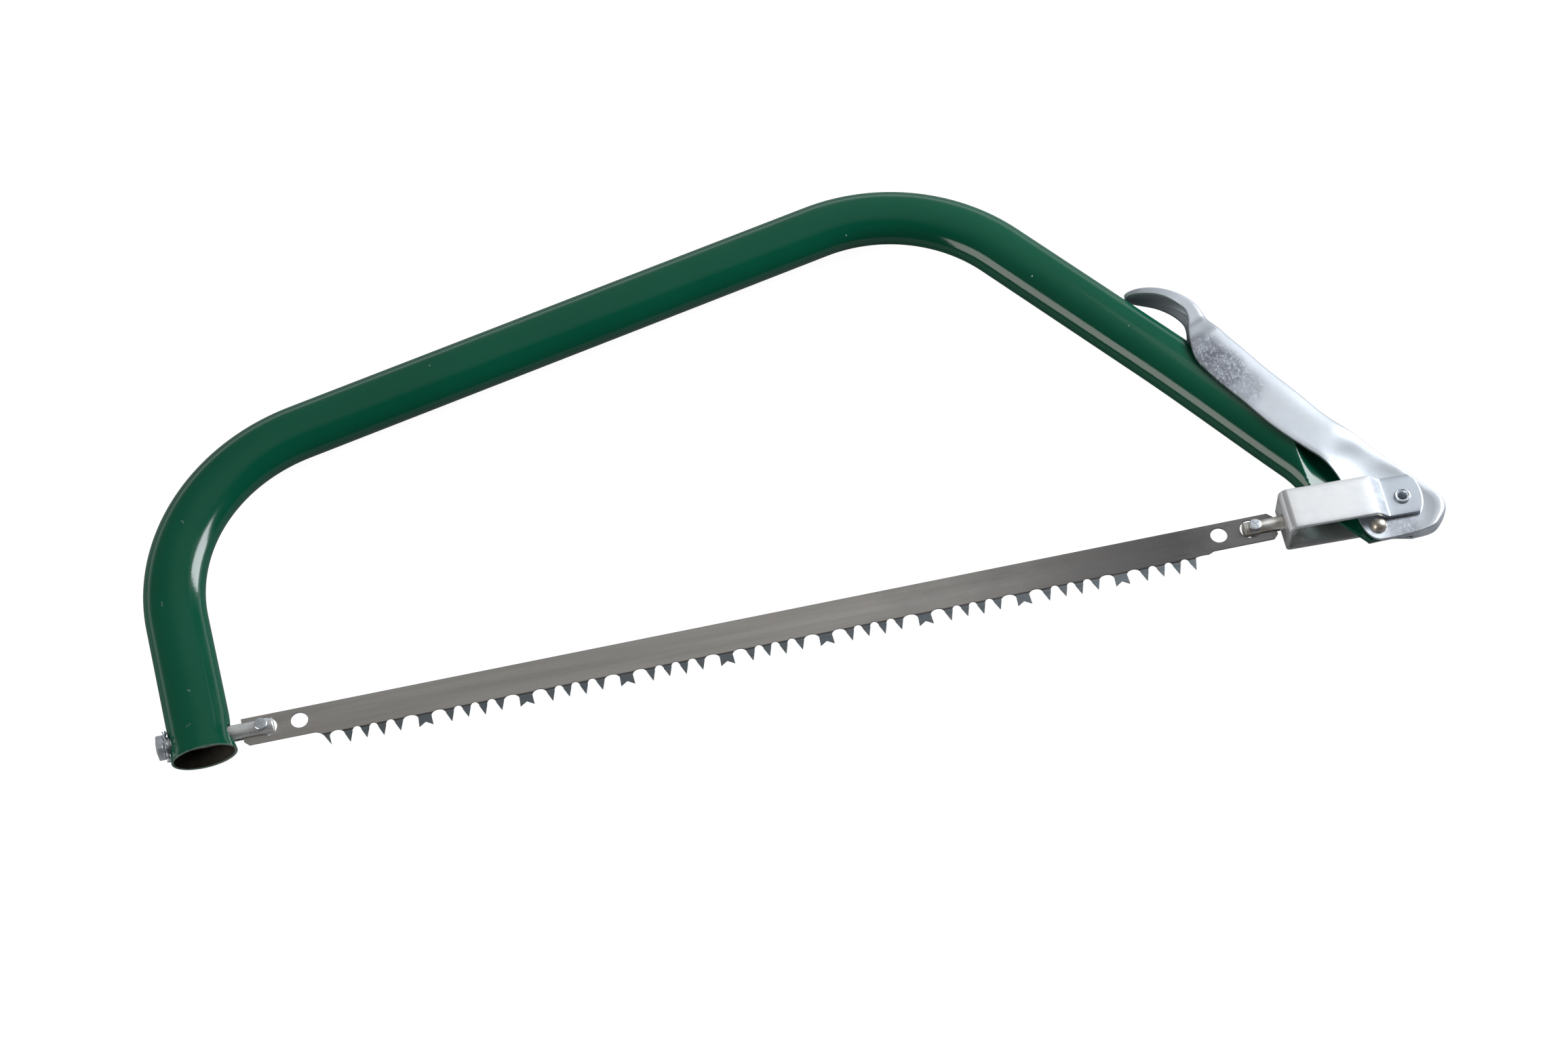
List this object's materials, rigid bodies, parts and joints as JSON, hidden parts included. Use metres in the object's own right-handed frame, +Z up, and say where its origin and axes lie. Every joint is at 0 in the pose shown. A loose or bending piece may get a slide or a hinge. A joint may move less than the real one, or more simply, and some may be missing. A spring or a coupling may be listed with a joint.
{
  "type": "bow saw",
  "caption": "Bow saw with a bent oval tube frame, a pinned green-wood blade and a folding over-centre tension lever with a finger hook.",
  "frame": {"origin": "under the middle of the bounding box, on the surface the saw lies on", "axes": "+X along the blade from the open rear end of the tube to the lever nose, +Y from the teeth to the top of the bow, +Z up out of the blade's plane"},
  "size_m": [0.6862, 0.2856, 0.0261],
  "materials": {
    "enamel": "gloss",
    "zinc": "bright zinc plate",
    "blade_steel": "satin, hardened teeth",
    "pin_steel": "plain bright"
  },
  "bodies": {
    "frame": {"frame_tube": "enamel", "rear_blade_pin": "pin_steel", "rear_cross_pin": "zinc", "rear_lock_washer": "zinc", "rear_nut": "zinc", "lever_rivet": "pin_steel"},
    "lever": {"lever": "zinc"},
    "stirrup": {"stirrup": "zinc", "stirrup_rivet": "zinc"},
    "blade": {"blade": "blade_steel", "front_blade_pin": "pin_steel", "front_cross_pin": "zinc"}
  },
  "joints": [
    {"name": "lever_swing", "type": "hinge", "parent": "frame", "child": "lever", "pos_m": [0.30446, -0.13459, 0.01305], "axis": [0, 0, -1], "range_deg": [0, 85]},
    {"name": "stirrup_swing", "type": "hinge", "parent": "lever", "child": "stirrup", "pos_m": [0.32136, -0.12099, 0.01305], "axis": [0, 0, -1], "range_deg": [-83, 0]},
    {"name": "blade_swing", "type": "hinge", "parent": "frame", "child": "blade", "pos_m": [-0.28854, -0.11919, 0.01305], "axis": [0, 0, -1], "range_deg": [0, 3]}
  ],
  "couplings": [
    {"joint": "stirrup_swing", "follows": "lever_swing", "ratio": -0.9678},
    {"joint": "blade_swing", "follows": "lever_swing", "ratio": 0.0322}
  ]
}
